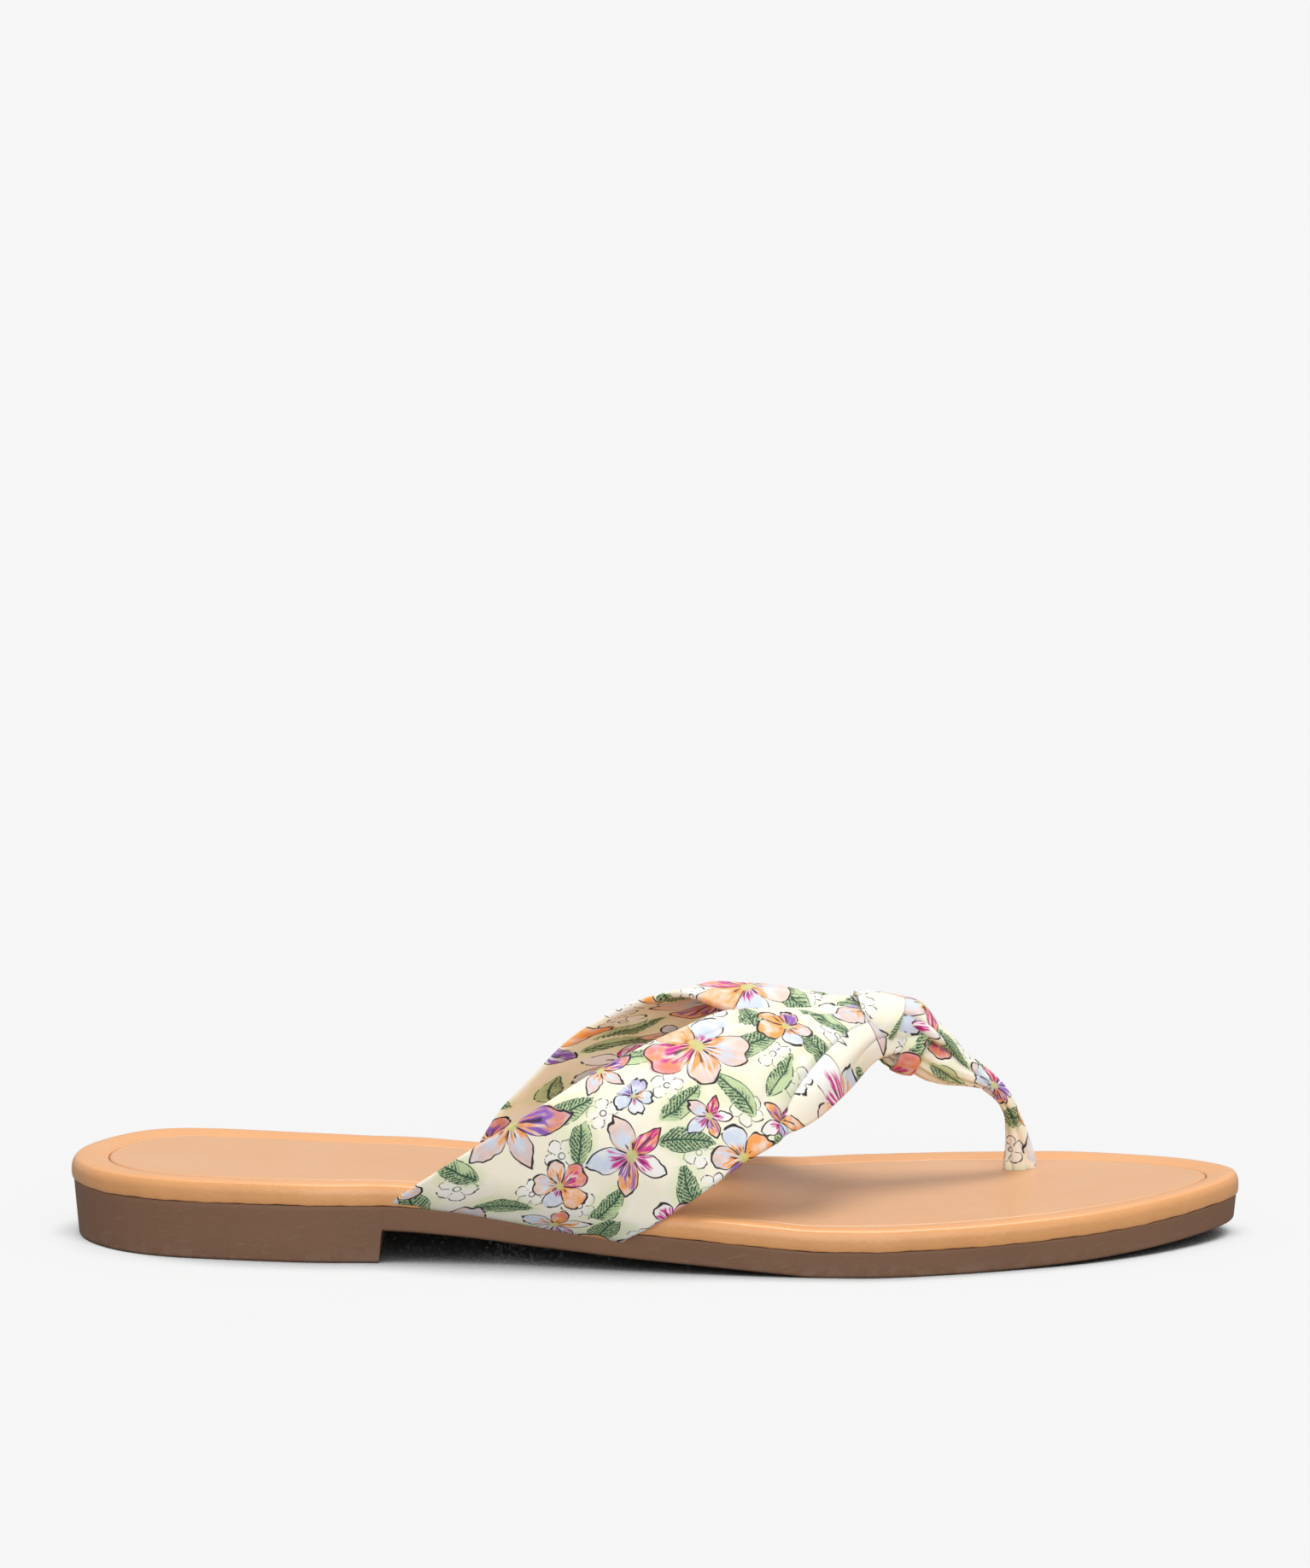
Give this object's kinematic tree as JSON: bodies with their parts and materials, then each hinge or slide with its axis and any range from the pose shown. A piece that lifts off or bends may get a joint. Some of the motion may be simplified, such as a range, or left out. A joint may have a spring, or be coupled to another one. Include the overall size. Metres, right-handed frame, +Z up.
{
  "type": "toe post sandal",
  "caption": "Flat toe post sandal: gathered fabric strap knotted over a post between the toes, padded footbed with raised rim, moulded sole with low heel.",
  "frame": {"origin": "centre of the bounding box at floor level, on the underside of heel and forefoot", "axes": "+X to the toe, +Y to the inner (big toe) side, +Z up"},
  "size_m": [0.248, 0.0864, 0.0518],
  "materials": {
    "outsole": "matte brown moulded rubber",
    "footbed": "smooth tan synthetic leather wrapped over foam",
    "insole_sock": "smooth tan synthetic leather panel",
    "upper": null
  },
  "bodies": {
    "root": {"outsole": "outsole", "footbed": "footbed", "insole_sock": "insole_sock", "upper": "upper"}
  },
  "joints": []
}
